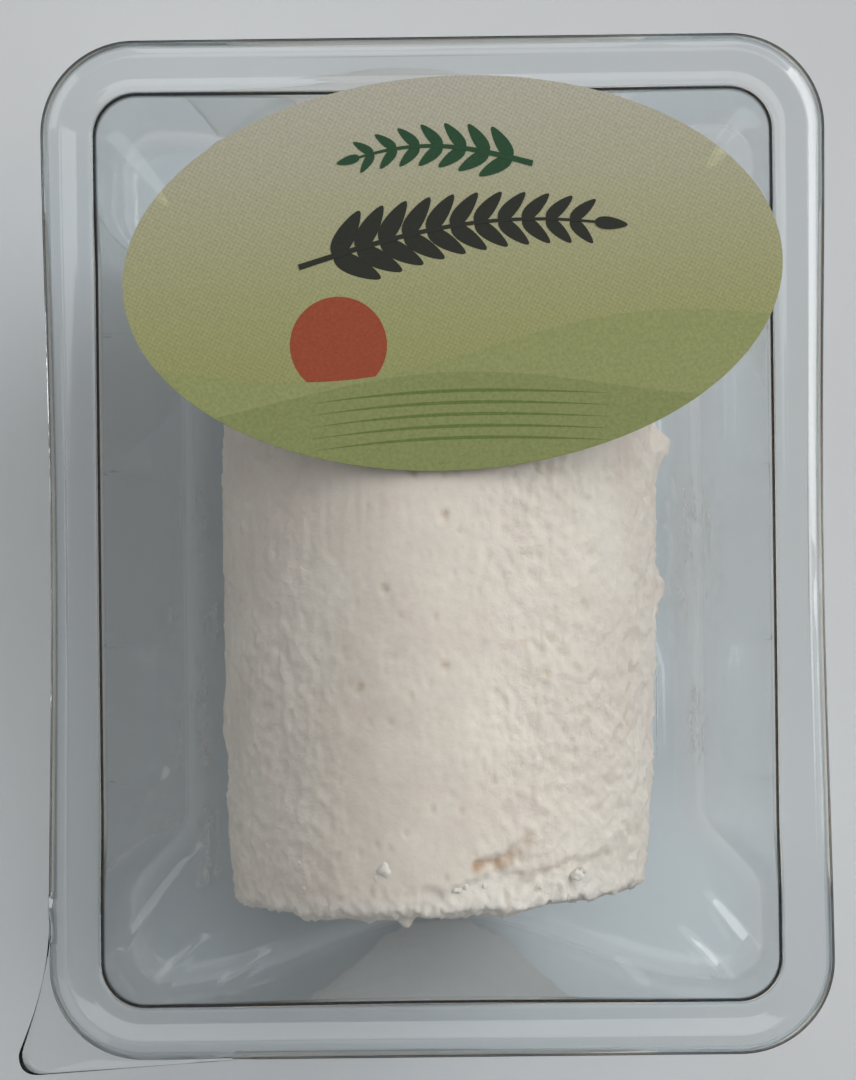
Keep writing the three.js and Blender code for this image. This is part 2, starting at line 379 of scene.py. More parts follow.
press_pads(tray_mesh)
wet_mesh = tray_mesh.copy()
tray = finish_piece(tray_mesh, "clear_tray", [clear_sheet], "tray")
thicken(tray, SHEET, -1)

# %% [markdown]
# ## The lidding film
# The film is sealed to the flange and drawn tight, and its pull raises small sharp folds that run
# in from the corners. The sheet is again a chain of rings, closest where the folds are, and the
# peel tab is the edge of one corner extruded further out.

# %% Folds of the film
FILM_BOTTOM, FILM_TOP = (corner.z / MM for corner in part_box("lid_film"))
FILM_SWELL = 0.16
SWELL_PITCH = 26
FOLDS = (
    ((-39.0, -37.5), (-34.6, -27.9), 0.6),
    ((-42.0, -53.4), (-30.4, -37.6), 0.85),
    ((-38.2, -58.0), (-29.6, -49.2), 0.85),
    ((-30.8, -58.0), (-21.8, -51.2), 0.8),
    ((39.8, -53.4), (33.4, -44.6), 0.7),
    ((36.8, -57.2), (29.8, -48.8), 0.65),
    ((26.5, -58.0), (21.5, -52.5), 0.4),
    ((-41.6, 52.6), (-33.0, 43.0), 0.4),
    ((40.8, 54.2), (34.6, 47.4), 0.45),
)
FOLD_WIDTH = 1.9
FOLD_TAPER = (1.1, 0.6)
FOLD_FULLNESS = 0.6
LABEL_HOLD = (1.03, 1.35)
RIM_HOLD = (0.7, 1)
label_low, label_high = (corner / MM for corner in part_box("front_label"))
LABEL_X, LABEL_Y = (label_high.x - label_low.x) / 2, (label_high.y - label_low.y) / 2
LABEL_CENTRE = (label_low + label_high) / 2
LABEL_TURN = math.radians(2.5)


def fold_height(x, y):
    """Height of the folds at a point: ridges that taper along their run."""
    height = 0
    for (x0, y0), (x1, y1), rise in FOLDS:
        run = Vector((x1 - x0, y1 - y0))
        away = Vector((x - x0, y - y0))
        along = away.dot(run) / run.length_squared
        if 0 < along < 1:
            width = FOLD_WIDTH * (FOLD_TAPER[0] - FOLD_TAPER[1] * along)
            across = abs(away.cross(run)) / run.length
            profile = math.sin(math.pi * along) ** FOLD_FULLNESS
            height += rise * profile * max(1 - across / width, 0)
    return height


def under_label(x, y):
    """1 under the label, where the film lies flat, falling to 0 away from it."""
    reach = math.hypot((x - LABEL_CENTRE.x) / LABEL_X, (y - LABEL_CENTRE.y) / LABEL_Y)
    return hill(reach, *LABEL_HOLD)


def lid(share):
    """Places a ring of the film over the tray's opening."""
    rim = scaled(wall(FLANGE_TOP, 0), share)

    def place(turn):
        x, y, z = rim(turn)
        free = (1 - under_label(x, y)) * hill(share, *RIM_HOLD)
        swell = FILM_SWELL * noise.noise(Vector((x, y, 3)) / SWELL_PITCH)
        return Vector((x, y, FILM_BOTTOM + free * swell + fold_height(x, y)))

    return place


# %% Extrude the film and its tab
FILM_TURNS = 560
SMOOTH_RINGS = 12
FOLDED_RINGS = 54
FOLDED_FROM = 0.58
TAB_RINGS = 5
TAB_TURNS = (0.594, 0.692)
TAB_START = Vector((-PACK_X + 0.2, -46.5))
TAB_TIP = Vector((-PACK_X - 4.1, -PACK_Y - 1.8))
TAB_STOP = Vector((-24, -PACK_Y))
TAB_ROUND = (TAB_TIP + Vector((0.12, 2.8)), TAB_TIP + Vector((2.6, 0.02)))
TAB_KNEES = (0.42, 0.6)
TAB_HOLLOW = 0.9
TAB_LIFT = 0.5
TAB_CREASE = 0.18
CREASE_PITCH = 4
LIP_DROP = 0.7
WELD = 0.01


def tab_edge(share):
    """The tab's outline from the left side round its tip to the near end."""
    first, second = TAB_KNEES
    before, after = TAB_ROUND
    if share < first:
        u = share / first
        return TAB_START.lerp(before, u) + Vector((TAB_HOLLOW * math.sin(math.pi * u), 0))
    if share > second:
        return after.lerp(TAB_STOP, (share - second) / (1 - second))
    u = (share - first) / (second - first)
    return before.lerp(TAB_TIP, u).lerp(TAB_TIP.lerp(after, u), u)


def tab(step):
    """Places a ring of the tab between the cut edge and the tab's outline."""
    cut = flange(FILM_BOTTOM - LIP_DROP, 0)

    def place(turn):
        share = (turn - TAB_TURNS[0]) / (TAB_TURNS[1] - TAB_TURNS[0])
        share = min(max(share, 0), 1)
        edge = cut(turn)
        x, y = edge.xy.lerp(tab_edge(share), step)
        curl = TAB_LIFT * step * math.sin(math.pi * share)
        crease = TAB_CREASE * step * noise.noise(Vector((x, y, 7)) / CREASE_PITCH)
        return Vector((x, y, edge.z + curl + crease))

    return place


def extrude_film():
    """The film from its middle, over the flange and lip, to the tab."""
    bm = bmesh.new()
    shares = [FOLDED_FROM * k / SMOOTH_RINGS for k in range(1, SMOOTH_RINGS + 1)]
    folded = [k / FOLDED_RINGS for k in range(1, FOLDED_RINGS + 1)]
    shares += [FOLDED_FROM + (1 - FOLDED_FROM) * k for k in folded]
    edges = first_ring(bm, FILM_TURNS, lid(shares[0]))
    for share in shares[1:]:
        edges = next_ring(bm, edges, lid(share))
    for inset, rise in FLANGE_PROFILE:
        edges = next_ring(bm, edges, flange(FILM_BOTTOM + rise, inset))
    turn = bm.verts.layers.float["turn"]
    edges = [e for e in edges if all(TAB_TURNS[0] <= v[turn] <= TAB_TURNS[1] for v in e.verts)]
    for k in range(1, TAB_RINGS + 1):
        edges = next_ring(bm, edges, tab(k / TAB_RINGS))
    bmesh.ops.remove_doubles(bm, verts=bm.verts[:], dist=WELD)
    face_up(bm)
    return bm


film = finish_piece(extrude_film(), "lidding_film", [clear_film], "lid_film")
thicken(film, FILM_TOP - FILM_BOTTOM, 1)

# %% [markdown]
# ## Paper and inks
# The front label is coated paper printed in greens that run from pale cream at the top to
# yellow-green at the bottom. Print is made of fine dots, and paper has a little speckle, so both
# are drawn over the gradient. The dots are drawn at 0.5 mm, coarser than a real screen, because
# finer ones wouldn't show at this size.

# %% Paper surface
SPECKLE = 0.45
FIBRE = 0.5
FIBRE_RELIEF = 0.05


def label_space(tree):
    """Millimetres on the label: X along its long axis, Y up."""
    place = add_node(tree, "ShaderNodeTexCoord")
    return add_node(tree, "ShaderNodeMapping", {
        "Vector": place.outputs["Object"], "Location": LABEL_CENTRE * MM,
        "Rotation": (0, 0, LABEL_TURN), "Scale": (MM, MM, MM)}, vector_type="TEXTURE").outputs[0]


def multiplied(tree, colour, shade):
    """A colour times a shade."""
    return add_node(tree, "ShaderNodeMix", {
        "Factor": 1.0, 6: colour, 7: shade}, data_type="RGBA", blend_type="MULTIPLY").outputs[2]


def speckled(tree, space, colour, size, amount):
    """A colour made uneven by specks of a size in the space's own unit."""
    grain = add_node(tree, "ShaderNodeTexNoise", {
        "Vector": space, "Scale": 1 / size, "Detail": 3.0, "Roughness": 0.7})
    shade = add_node(tree, "ShaderNodeMapRange", {
        "Value": grain.outputs["Fac"], "From Min": 0.3, "From Max": 0.7,
        "To Min": 1 - amount, "To Max": 1 + amount})
    return multiplied(tree, colour, shade.outputs[0])


def paper_surface(tree, colour, roughness):
    """Coated paper: satin, with a faint fibre relief."""
    place = add_node(tree, "ShaderNodeTexCoord")
    fibre = add_node(tree, "ShaderNodeTexNoise", {
        "Vector": place.outputs["Object"], "Scale": 1 / (FIBRE * MM), "Detail": 2.0})
    bump = add_node(tree, "ShaderNodeBump", {
        "Strength": 0.12, "Distance": FIBRE_RELIEF * MM, "Height": fibre.outputs["Fac"]})
    paper = add_node(tree, "ShaderNodeBsdfPrincipled", {
        "Base Color": colour, "Roughness": roughness, "Normal": bump.outputs[0]})
    add_node(tree, "ShaderNodeOutputMaterial", {"Surface": paper.outputs[0]})


# %% Print, inks and plain paper
DOT_PITCH = 0.5
DOT_ANGLE = math.radians(30)
GREENS = ((0.0, "#a2a75f"), (0.38, "#b3b479"), (0.68, "#c2bf99"), (1.0, "#cfcab8"))


def printed_paper():
    """Coated paper under a screened green gradient."""
    material, tree = new_material("Coated label paper, green print")
    space = label_space(tree)
    axes = add_node(tree, "ShaderNodeSeparateXYZ", {"Vector": space})
    height = add_node(tree, "ShaderNodeMapRange", {
        "Value": axes.outputs["Y"], "From Min": -LABEL_Y, "From Max": LABEL_Y})
    ramp = add_node(tree, "ShaderNodeValToRGB", {"Fac": height.outputs[0]})
    elements = ramp.color_ramp.elements
    for index, (position, colour) in enumerate(GREENS):
        stop = elements[index] if index < 2 else elements.new(position)
        stop.position = position
        stop.color = linear(colour)
    angled = add_node(tree, "ShaderNodeMapping", {"Vector": space, "Rotation": (0, 0, DOT_ANGLE)})
    dots = add_node(tree, "ShaderNodeTexVoronoi", {
        "Vector": angled.outputs[0], "Scale": 1 / DOT_PITCH, "Randomness": 0.1},
        voronoi_dimensions="2D")
    screen = add_node(tree, "ShaderNodeMapRange", {
        "Value": dots.outputs["Distance"], "From Min": 0.2, "From Max": 0.45,
        "To Min": 0.9, "To Max": 1.03})
    dotted = multiplied(tree, ramp.outputs["Color"], screen.outputs[0])
    paper_surface(tree, speckled(tree, space, dotted, SPECKLE, 0.1), 0.5)
    return material


def ink(name, colour):
    """Offset ink on the same paper."""
    material, tree = new_material(name)
    space = label_space(tree)
    paper_surface(tree, speckled(tree, space, linear(colour), SPECKLE, 0.14), 0.46)
    return material


def plain_paper():
    """Uncoated off-white label stock, faintly mottled."""
    material, tree = new_material("Plain label paper")
    space = label_space(tree)
    paper_surface(tree, speckled(tree, space, linear("#e4e3e0"), SPECKLE, 0.04), 0.75)
    return material


label_inks = [printed_paper(), ink("Deep green ink", "#23512f"), ink("Black-green ink", "#2a2c20"),
              ink("Meadow green ink", "#a8ad70"), ink("Hill green ink", "#9aa264"),
              ink("Terracotta ink", "#b0512e"), ink("Grass green ink", "#74873f")]
DEEP, BLACK, MEADOW, HILL, TERRACOTTA, GRASS = range(1, len(label_inks))
plain_stock = plain_paper()
print("inks", [m.name for m in label_inks])

# %% [markdown]
# ## The front label
# The label is an oval slab of paper. Its print is a plain country scene of flat fields: a low sun
# behind two hills, with two herb sprigs above. Each field is a flat shape from a circle or a grid,
# laid on the paper and extruded by the thickness of a thick ink, so its edges stay sharp from close
# by. The label is turned a little, so its oval is drawn a trace smaller than its box.

# %% Flat shapes in ink
INK = 0.02
paper_low, paper_high = label_low.z, label_high.z


def lay_ink(bm, points, layer, colour):
    """Lays a flat shape on the paper in its layer and gives it thickness and colour."""
    faces = list({f for v in points for f in v.link_faces})
    for v in points:
        v.co.z = paper_high - INK / 2
    top = bmesh.ops.extrude_face_region(bm, geom=faces)["geom"]
    raised = [g for g in top if isinstance(g, bmesh.types.BMVert)]
    bmesh.ops.translate(bm, verts=raised, vec=(0, 0, INK * (layer + 1)))
    for f in {f for v in raised + points for f in v.link_faces}:
        f.material_index = colour


def round_shape(bm, count, place, layer, colour):
    """A flat shape round whose edge place(angle) runs."""
    points = bmesh.ops.create_circle(bm, cap_ends=True, segments=count, radius=1)["verts"]
    for v in points:
        v.co.x, v.co.y = place(math.atan2(v.co.y, v.co.x))
    lay_ink(bm, points, layer, colour)


def ribbon(bm, steps, path, width, layer, colour):
    """A flat band of a given width along a path."""
    points = bmesh.ops.create_grid(bm, x_segments=steps, y_segments=1, size=1)["verts"]
    for v in points:
        share, side = (v.co.x + 1) / 2, v.co.y
        here, ahead = path(share), path(share + 1e-3)
        normal = Vector((here.y - ahead.y, ahead.x - here.x)).normalized()
        v.co.xy = here + normal * side * width(share) / 2
    lay_ink(bm, points, layer, colour)


# %% Edges of the shapes
def oval_edge(half_x, half_y):
    """The edge of an oval, by angle."""
    return lambda angle: (half_x * math.cos(angle), half_y * math.sin(angle))


def below(edge, crest):
    """The part of a shape that lies under a crest line."""
    def place(angle):
        x, y = edge(angle)
        return x, min(y, crest(x))

    return place


def leaf_edge(length, width, spot, heading):
    """A pointed leaf that starts at a spot and points along a heading."""
    def place(angle):
        along = length * (0.5 - 0.5 * math.cos(angle))
        across = width / 2 * math.sin(angle) * (1 + 0.35 * math.cos(angle))
        tip = Matrix.Rotation(heading, 2) @ Vector((along, across))
        return spot + tip

    return place


# %% A sprig
LEAF_POINTS = 26
LEAF_SPREAD = 0.75
LEAF_SLIMNESS = 0.36
STEM_STEPS = 24
STEM_WIDTH = 0.75
SPRIG_TAPER = 0.45
FIRST_LEAF, LEAF_RUN = 0.12, 0.8


def sprig(bm, path, count, length, layer, colour):
    """A herb sprig: a tapering stem with pairs of leaves and one at its tip."""
    ribbon(bm, STEM_STEPS, path, lambda share: STEM_WIDTH - SPRIG_TAPER * share, layer + 4, colour)
    for k in range(count):
        share = FIRST_LEAF + LEAF_RUN * k / (count - 1)
        spot, ahead = path(share), path(share + 0.01)
        heading = math.atan2(ahead.y - spot.y, ahead.x - spot.x)
        size = length * (1 - SPRIG_TAPER * share)
        for side in (0, 1):
            turn = LEAF_SPREAD * (2 * side - 1)
            leaf = leaf_edge(size, size * LEAF_SLIMNESS, spot, heading + turn)
            round_shape(bm, LEAF_POINTS, leaf, layer + 2 * side + k % 2, colour)
    end, before = path(1), path(0.97)
    heading = math.atan2(end.y - before.y, end.x - before.x)
    last = leaf_edge(length * 0.6, length * 0.22, end, heading)
    round_shape(bm, LEAF_POINTS, last, layer + 5, colour)


# %% Lines of the scene
SUN_X, SUN_Y, SUN_RADIUS = -15, -8.4, 6.2
FURROWS = 5
FURROW_TOP, FURROW_PITCH = 1.2, 1.5
FURROW_HALF = 19
FURROW_WIDTH = 0.42
FURROW_SAG = 1.2


def far_crest(x):
    """Skyline of the far hill."""
    return -9.8 + 2.4 * math.sin(0.085 * x - 0.4) + 0.05 * x


def near_crest(x):
    """Skyline of the near hill."""
    return -15.2 + 2.6 * math.sin(0.075 * x + 1.7)


def furrow(drop):
    """The line of a furrow, a drop below the near hill's crest."""
    def path(share):
        x = 2 * FURROW_HALF * share - FURROW_HALF
        return Vector((x, near_crest(x) - drop - FURROW_SAG * math.sin(math.pi * share)))

    return path


def furrow_width(share):
    """A furrow is widest in its middle."""
    return FURROW_WIDTH * math.sin(math.pi * share)


def sun_edge(angle):
    """The edge of the low sun."""
    return SUN_X + SUN_RADIUS * math.cos(angle), SUN_Y + SUN_RADIUS * math.sin(angle)


def dark_stem(share):
    """The long sprig across the middle."""
    return Vector((38 * share - 19.5, 1.8 + 4.6 * math.sin(2.2 * share)))


def green_stem(share):
    """The short sprig near the top."""
    return Vector((11 - 22 * share, 13.4 + 3 * math.sin(2.4 * share)))


# %% Print the label
PAPER_POINTS, SUN_POINTS, HILL_POINTS, FURROW_STEPS = 256, 64, 400, 40
TURN_SLACK = (0.02, 0.05)
FIELD_MARGIN = 0.03
DARK_LEAVES, DARK_LENGTH = 11, 7.0
GREEN_LEAVES, GREEN_LENGTH = 7, 5.0


def print_label():
    """The oval of paper and everything printed on it, in label millimetres."""
    bm = bmesh.new()
    half_x, half_y = LABEL_X - TURN_SLACK[0], LABEL_Y - TURN_SLACK[1]
    paper = bmesh.ops.create_circle(bm, cap_ends=True, segments=PAPER_POINTS, radius=1)["verts"]
    for v in paper:
        v.co = Vector((half_x * v.co.x, half_y * v.co.y, paper_low))
    top = bmesh.ops.extrude_face_region(bm, geom=list(paper[0].link_faces))["geom"]
    raised = [g for g in top if isinstance(g, bmesh.types.BMVert)]
    bmesh.ops.translate(bm, verts=raised, vec=(0, 0, paper_high - paper_low))

    field = oval_edge(half_x - FIELD_MARGIN, half_y - FIELD_MARGIN)
    round_shape(bm, SUN_POINTS, sun_edge, 0, TERRACOTTA)
    round_shape(bm, HILL_POINTS, below(field, far_crest), 1, MEADOW)
    round_shape(bm, HILL_POINTS, below(field, near_crest), 2, HILL)
    for k in range(FURROWS):
        line = furrow(FURROW_TOP + FURROW_PITCH * k)
        ribbon(bm, FURROW_STEPS, line, furrow_width, 3, GRASS)
    sprig(bm, dark_stem, DARK_LEAVES, DARK_LENGTH, 1, BLACK)
    sprig(bm, green_stem, GREEN_LEAVES, GREEN_LENGTH, 1, DEEP)
    bmesh.ops.recalc_face_normals(bm, faces=bm.faces[:])
    moved = Matrix.Translation((LABEL_CENTRE.x, LABEL_CENTRE.y, 0))
    bmesh.ops.transform(bm, matrix=moved @ Matrix.Rotation(LABEL_TURN, 4, "Z"), verts=bm.verts[:])
    return bm


front_label = finish_piece(
    print_label(), "front_label_printed", label_inks, "front_label")
for polygon in front_label.data.polygons:
    polygon.use_smooth = False

# %% [markdown]
# ## The plain label under the base
# A second label is stuck under the tray and reaches past the base's end, where its free edge
# curls up a little. It is a disc of rings, so that the paper can bend, thickened like the tray.

# %% The label under the base
back_low, back_high = (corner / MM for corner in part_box("back_label"))
BACK_CENTRE = (back_low + back_high) / 2
BACK_X, BACK_Y = (back_high.x - back_low.x) / 2, (back_high.y - back_low.y) / 2
BACK_RINGS = 24
BACK_TURNS = 128
CURL_FROM = 58.0
CURL = 0.016


def back_ring(share):
    """Places a ring of the label, with the curl of its free edge."""
    def place(turn):
        angle = turn * math.tau
        x = BACK_CENTRE.x + BACK_X * share * math.cos(angle)
        y = BACK_CENTRE.y + BACK_Y * share * math.sin(angle)
        return Vector((x, y, back_high.z + CURL * max(y - CURL_FROM, 0) ** 2))

    return place


back_mesh = bmesh.new()
back_edges = first_ring(back_mesh, BACK_TURNS, back_ring(1 / BACK_RINGS))
for k in range(2, BACK_RINGS + 1):
    back_edges = next_ring(back_mesh, back_edges, back_ring(k / BACK_RINGS))
face_up(back_mesh)
back_label = finish_piece(back_mesh, "back_label_paper", [plain_stock], "back_label")
thicken(back_label, back_high.z - back_low.z, -1)

# %% [markdown]
# ## Fresh curd
# Young goat cheese is a moist white curd. Light goes a little way into it, and it is pinker and
# greyer where it has dried and whiter where it has just broken. Its pits are painted a darker tan,
# which is painted shade in the hollows, and its crack is painted brown, a real mark deepened by
# painted shade in the crack. The relief below is real geometry and the material adds only the
# finest grain. Attributes of the mesh say where pits and crack carry painted shade, where it is
# freshly broken and where it is pressed smooth.

# %% Curd material
CURD_PATCH = 18
CURD_SPECKLE = 1.3
GRAIN = 0.55
GRAIN_RELIEF = 0.22
# The pit tint is painted shade in the hollows; the crack's tint is a brown mark deepened by painted
# shade.
CURD_TINTS = (("pit_shade", "#cdb48e"), ("fresh", "#f6f2ea"), ("crack_stain_and_shade", "#ab7a3e"))


def fresh_curd():
    """Moist curd: off-white, a little soft to light, with a fine grain."""
    material, tree = new_material("Fresh goat curd")
    place = add_node(tree, "ShaderNodeTexCoord").outputs["Object"]
    patches = add_node(tree, "ShaderNodeTexNoise", {
        "Vector": place, "Scale": 1 / (CURD_PATCH * MM), "Detail": 5.0, "Roughness": 0.62})
    tone = add_node(tree, "ShaderNodeValToRGB", {"Fac": patches.outputs["Fac"]})
    tone.color_ramp.elements[0].position = 0.34
    tone.color_ramp.elements[0].color = linear("#e6d8cc")
    tone.color_ramp.elements[1].position = 0.66
    tone.color_ramp.elements[1].color = linear("#f0e6da")
    colour = speckled(tree, place, tone.outputs["Color"], CURD_SPECKLE * MM, 0.035)
    # Mixes in the painted shade of the pits, the white of fresh breaks and the crack's brown with its
    # painted shade.
    for name, tint in CURD_TINTS:
        amount = add_node(tree, "ShaderNodeAttribute", attribute_name=name)
        colour = add_node(tree, "ShaderNodeMix", {
            "Factor": amount.outputs["Fac"], 6: colour, 7: linear(tint)}, data_type="RGBA").outputs[2]
    grain = add_node(tree, "ShaderNodeTexNoise", {
        "Vector": place, "Scale": 1 / (GRAIN * MM), "Detail": 5.0, "Roughness": 0.7})
    smoothed = add_node(tree, "ShaderNodeAttribute", attribute_name="smoothed")
    coarseness = add_node(tree, "ShaderNodeMapRange", {
        "Value": smoothed.outputs["Fac"], "To Min": 0.8, "To Max": 0.22})
    bump = add_node(tree, "ShaderNodeBump", {
        "Strength": coarseness.outputs[0], "Distance": GRAIN_RELIEF * MM,
        "Height": grain.outputs["Fac"]})
    moist = add_node(tree, "ShaderNodeMapRange", {
        "Value": patches.outputs["Fac"], "From Min": 0.3, "From Max": 0.7,
        "To Min": 0.5, "To Max": 0.72})
    curd = add_node(tree, "ShaderNodeBsdfPrincipled", {
        "Base Color": colour, "Roughness": moist.outputs[0], "Normal": bump.outputs[0],
        "Subsurface Weight": 0.25, "Subsurface Radius": (1.0, 0.8, 0.6), "Subsurface Scale": 0.8 * MM})
    add_node(tree, "ShaderNodeOutputMaterial", {"Surface": curd.outputs[0]})
    return material


curd_material = fresh_curd()
print("curd", curd_material.name)

# %% [markdown]
# ## The log
# The log was moulded as a barrel, sagged a little on its bed and broke up at its ends. Rings run
# along it from end to end, and each point is moved along its own normal by noise at the sizes
# that show: broad waves, lumps with creases between them, small pits and, at the upper left, fine
# drag lines from the mould. The near end is cut a little askew, and part of its top has come off.
# Vector noise takes its start from the clock unless it gets a seed, so the log sets one first.

# %% Curd relief
log_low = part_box("cheese_log")[0] / MM
LOG_X, LOG_Y, LOG_Z = 28.3, 47.3, 28.0
LOG_BED = 26.0
LOG_HEADROOM = 28.45
LOG_AXIS = log_low.z + LOG_BED
LUMPS = ((13, 4, 3.8, 1.3), (-5, -6, 4.6, 1.2), (-22, 178, 6, 0.6), (24, 186, 6, 0.7))
SMOOTHED_X, SMOOTHED_HILL = -4, (5, 18)
DRAG_X, DRAG_X_HILL = -18, (4, 20)
DRAG_Y, DRAG_Y_HILL = 24, (12, 42)
SIDE_ROUGHNESS, SMOOTHING = 1.7, 1.5
DRAG_LINES = (0.8, 16, 0.8)
PIT_WARP, WARP_SIZE = 0.7, 1.6
PIT_SEED = 7
noise.seed_set(PIT_SEED)


def pit_depth(point, cell, size, chance):
    """Depth share of the pit at a point: some cells of a size hold one."""
    distances, centres = noise.voronoi(point / cell)
    if 0.5 + 0.5 * noise.cell(centres[0] * 3.7) > chance:
        return 0
    return hill(distances[0] * cell, 0, size)


def billow(point, size):
    """Rounded lumps of a size with creases between them."""
    return 0.22 - abs(noise.noise(point / size))


def film_smoothed(point):
    """1 along the top, where the film has pressed the curd smooth."""
    return hill(point.x - SMOOTHED_X, *SMOOTHED_HILL) if point.z > 0 else 0


def curd_relief(point):
    """Relief of the side of the log in millimetres, and how pitted it is, for the painted pit shade.
    """
    upper = 1 if point.z > 0 else 0
    drag = upper * hill(point.x - DRAG_X, *DRAG_X_HILL) * hill(point.y - DRAG_Y, *DRAG_Y_HILL)
    coarse = (SIDE_ROUGHNESS - SMOOTHING * film_smoothed(point)) * (1 - 0.5 * drag)
    coarse *= 0.85 + 0.6 * noise.noise(point / 12)
    broad = 0.4 * noise.noise(point / 15) + 0.22 * noise.noise(point / 6.5)
    lumps = 0.42 * billow(point, 3.4) + 0.3 * billow(point, 1.5) + 0.19 * noise.noise(point / 0.8)
    warped = point + PIT_WARP * noise.noise_vector(point / WARP_SIZE)
    pits = 0.5 * pit_depth(warped, 5.0, 1.0, 0.38) + 0.3 * pit_depth(warped, 2.2, 0.6, 0.4)
    pits *= 1 - 0.7 * drag
    lines = 0.12 * drag * noise.noise(Vector(c / size for c, size in zip(point, DRAG_LINES)))
    return broad + coarse * lumps + lines - pits, min(pits / 0.5, 1)


def lump_rise(point, angle):
    """Lumps of curd that stand out of the sides, uneven themselves."""
    rise = 0
    for lump_y, degrees, size, height in LUMPS:
        away = angle - math.radians(degrees)
        around = LOG_X * math.atan2(math.sin(away), math.cos(away))
        rise += height * hill(math.hypot(around, point.y - lump_y), 0.2 * size, size)
    return rise * (1 + 0.7 * noise.noise(point / 1.8))


# %% The broken near end
CRACK = ((4.6, -40.9, 1.0), (8.1, -40.4, 0.8), (11.4, -37.6, 0.35))
END_CRUMBS = (
    (-4.5, 24.0, 1.5, 1.5), (-9.5, 22.5, 2.0, 0.8), (8.0, 23.0, 3.0, 0.7), (-17.0, 18.5, 3.0, 0.6),
)
LEDGE = 0.65
LEDGE_FROM = -36
LEDGE_BORDER = -42.4
LEDGE_X, LEDGE_HILL = 10, (9, 16)


def face_relief(point, share):
    """Break-up of an end's face, finest along its edge, and the crumbs that stand out of it."""
    edge = share ** 4
    flakes = 0.6 * noise.noise(point / 6) + (0.2 + 0.6 * edge) * billow(point, 2.8)
    flakes += edge * (0.8 * billow(point, 1.2) + 0.5 * noise.noise(point / 0.55))
    if point.y < 0:
        for x, z, size, rise in END_CRUMBS:
            flakes += rise * hill(math.hypot(point.x - x, point.z - z), 0.2, size)
    return flakes - 0.35 * pit_depth(point, 3.2, 1.2, 0.45)


def crack(x, y, width):
    """Strength of the crack at a point seen from above: its groove, and its brown with painted shade.
    """
    strength = 0
    for (x0, y0, a0), (x1, y1, a1) in zip(CRACK, CRACK[1:]):
        run, away = Vector((x1 - x0, y1 - y0)), Vector((x - x0, y - y0))
        u = min(max(away.dot(run) / run.length_squared, 0), 1)
        strength = max(strength, (a0 + (a1 - a0) * u) * hill((away - run * u).length, 0.1, width))
    return strength


def ledge(point):
    """1 where the top of the near end has come off, with a ragged border."""
    if point.z < 0 or point.y > LEDGE_FROM:
        return 0
    ragged = 2.2 * noise.noise(point / 4.5) + 1.0 * noise.noise(point / 1.6)
    border = LEDGE_BORDER + 0.1 * (point.x - 8) + ragged
    return min(max((border - point.y) / 0.9, 0), 1) * hill(point.x - LEDGE_X, *LEDGE_HILL)


# %% Rings of the log
LOG_TURNS = 336
TOP_DENSITY = 0.38
SIDE_RINGS = 190
ROUND_RINGS = 4
FACE_RINGS = 42
FACE_CROWDING = 1.5
RIM_PULL = 6
BROKEN_HILL = (1.0, 5.5)
CRACK_DEPTH, CRACK_WIDTH = 0.8, 0.8
LOG_BARREL = 0.03
NEAR_TAPER = 1.4
END_ROUND = 1.0
END_BOW = 3.0
END_LEAN = 0.037
END_FADE = 25


def log_stations():
    """Distance along the log and share of its radius, from the near end to the far one."""
    inner = 1 - END_ROUND / LOG_X
    gaps = [1 - k / FACE_RINGS for k in range(1, FACE_RINGS + 1)]
    end = [(LOG_Y, inner * (1 - gap ** FACE_CROWDING)) for gap in gaps]
    for k in range(1, ROUND_RINGS + 1):
        angle = k / ROUND_RINGS * math.pi / 2
        end.append((LOG_Y - END_ROUND * (1 - math.cos(angle)), inner + (1 - inner) * math.sin(angle)))
    straight = LOG_Y - END_ROUND
    side = [(straight * (2 * k / SIDE_RINGS - 1), 1) for k in range(1, SIDE_RINGS)]
    return [(-y, share) for y, share in end] + side + end[::-1]


def log_ring(y, share):
    """Places a ring of the log. Points are closer together on its top."""
    barrel = 1 - LOG_BARREL * (y / LOG_Y) ** 2
    taper = NEAR_TAPER * max(-y / LOG_Y, 0) ** 2
    broken = hill(LOG_Y - abs(y), *BROKEN_HILL)
    ended = hill(LOG_Y - abs(y), 0, END_FADE)
    lean = END_LEAN if y < 0 else 0
    end = 1 if y > 0 else -1

    def place(turn):
        angle = TOP_DENSITY * math.cos(turn * math.tau) - turn * math.tau
        outward = Vector((math.cos(angle), 0, math.sin(angle)))
        half_x = LOG_X - taper if outward.x > 0 else LOG_X
        point = Vector((half_x * outward.x, 0, LOG_Z * outward.z)) * barrel
        face = Vector((point.x * share, end * LOG_Y, point.z * share))
        flakes = face_relief(face, share) if broken > 0 else 0
        point.y = y
        rise = curd_relief(point)[0] + lump_rise(point, angle)
        crumble = 0.3 * billow(point, 2.4) + 0.3 * billow(point, 1.1) + 0.2 * noise.noise(point / 0.5)
        rise += broken * crumble
        if point.z > 0:
            rise -= LEDGE * ledge(point) + CRACK_DEPTH * crack(point.x, point.y, CRACK_WIDTH)
        point = Vector((face.x, y, face.z)) + outward * rise * share ** RIM_PULL
        bow = END_BOW * (point.x / LOG_X) ** 2 + lean * point.x
        point.y += end * (broken * flakes - ended * bow)
        point.z = LOG_AXIS + min(max(point.z, -LOG_BED), LOG_HEADROOM)
        return point

    return place


# %% Extrude the log and mark its curd
# Strengths of the painted shade in the pits, of the crack's brown with its painted shade, and of the
# fresh white.
PIT_SHADE_STRENGTH, CRACK_STAIN_AND_SHADE, BROKEN = 0.6, 0.9, 0.4
STAIN_AND_SHADE_WIDTH = 1.3
FRESH_HILL = (0.5, 3.5)


